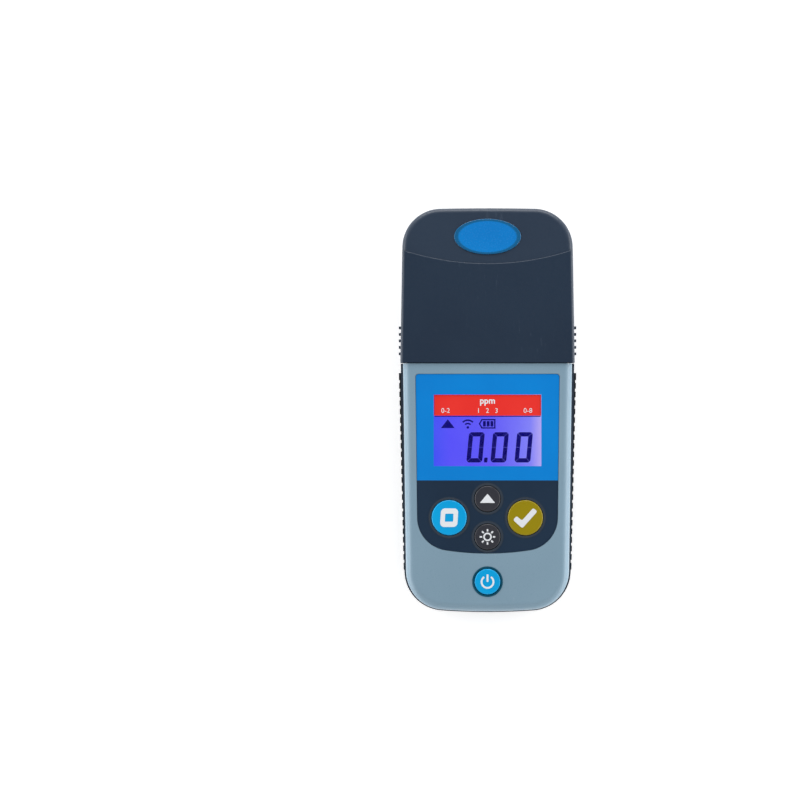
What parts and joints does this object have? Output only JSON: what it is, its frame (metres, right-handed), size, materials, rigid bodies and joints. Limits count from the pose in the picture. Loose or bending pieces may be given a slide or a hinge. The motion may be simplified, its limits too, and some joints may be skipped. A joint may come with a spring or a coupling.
{
  "type": "portable colorimeter",
  "caption": "Hand-held colorimeter with a pull-off instrument cap over a round sample well, a backlit display, round keys and a screwed battery door in its back.",
  "frame": {"origin": "middle of the back face, on the surface that the meter lies on", "axes": "+X to the right seen from the front, +Y along the meter towards the end under the cap, +Z out of the face with the display and keys"},
  "size_m": [0.069, 0.157, 0.034],
  "materials": {
    "grey_casing": "finely textured moulding",
    "slate_casing": "finely textured moulding",
    "slate_cap": "finely textured moulding",
    "grip_rubber": "matt",
    "seal_rubber": "matt",
    "black_moulding": "matt black",
    "board_green": "solder mask",
    "component_black": "moulded",
    "screw_steel": "bright",
    "spring_steel": "nickel plated",
    "insert_brass": "knurled",
    "clear_glass": "polished",
    "clear_window": "hard coated",
    "filter_glass": "coated",
    "display_glass": "backlit",
    "light_guide": "milky",
    "label_film": "printed film",
    "strip_print": "printed film",
    "blue_key": "soft gloss",
    "olive_key": "soft gloss",
    "dark_key": "soft gloss",
    "dark_ring": "soft gloss",
    "badge_blue": "glossy",
    "cell_jacket": "printed sleeve"
  },
  "bodies": {
    "meter": {"front_housing": "grey_casing", "rear_housing": "slate_casing", "housing_gasket": "seal_rubber", "left_grip": "grip_rubber", "right_grip": "grip_rubber", "cell_compartment": "black_moulding", "cell_windows": "clear_glass", "led_lamp": "clear_glass", "led_board": "board_green", "interference_filter": "filter_glass", "photodiode": "spring_steel", "detector_board": "board_green", "main_board": "board_green", "board_components": "component_black", "radio_module": "spring_steel", "board_screws": "screw_steel", "key_switches": "component_black", "lcd_frame": "light_guide", "lcd_panel": "display_glass", "display_window": "clear_window", "parameter_label": "strip_print", "keypad_overlay": "label_film", "power_key_ring": "dark_ring", "housing_screws": "screw_steel", "batteries": "cell_jacket", "battery_contacts": "spring_steel", "screw_insert": "insert_brass"},
    "cap": {"instrument_cap": "slate_cap", "cap_badge": "badge_blue"},
    "zero_button": {"key_zero": "blue_key"},
    "read_button": {"key_read": "olive_key"},
    "up_button": {"key_up": "dark_key"},
    "light_button": {"key_light": "dark_key"},
    "power_button": {"key_power": "blue_key"},
    "door": {"battery_door": "slate_casing", "door_gasket": "seal_rubber"},
    "coin_screw": {"door_screw": "screw_steel"}
  },
  "joints": [
    {"name": "cap_slide", "type": "slide", "parent": "meter", "child": "cap", "axis": [0, 1, 0], "range_m": [0, 0.075]},
    {"name": "zero_press", "type": "slide", "parent": "meter", "child": "zero_button", "axis": [0, 0, -1], "range_m": [0, 0.0006], "stiffness_N_per_m": 1500},
    {"name": "read_press", "type": "slide", "parent": "meter", "child": "read_button", "axis": [0, 0, -1], "range_m": [0, 0.0006], "stiffness_N_per_m": 1500},
    {"name": "up_press", "type": "slide", "parent": "meter", "child": "up_button", "axis": [0, 0, -1], "range_m": [0, 0.0006], "stiffness_N_per_m": 1500},
    {"name": "light_press", "type": "slide", "parent": "meter", "child": "light_button", "axis": [0, 0, -1], "range_m": [0, 0.0006], "stiffness_N_per_m": 1500},
    {"name": "power_press", "type": "slide", "parent": "meter", "child": "power_button", "axis": [0, 0, -1], "range_m": [0, 0.0006], "stiffness_N_per_m": 1500},
    {"name": "door_lift", "type": "slide", "parent": "meter", "child": "door", "axis": [0, 0, -1], "range_m": [0, 0.03]},
    {"name": "screw_turn", "type": "hinge", "parent": "door", "child": "coin_screw", "pos_m": [0, -0.0644, 0.001], "axis": [0, 0, -1], "range_deg": [0, 1080]}
  ]
}
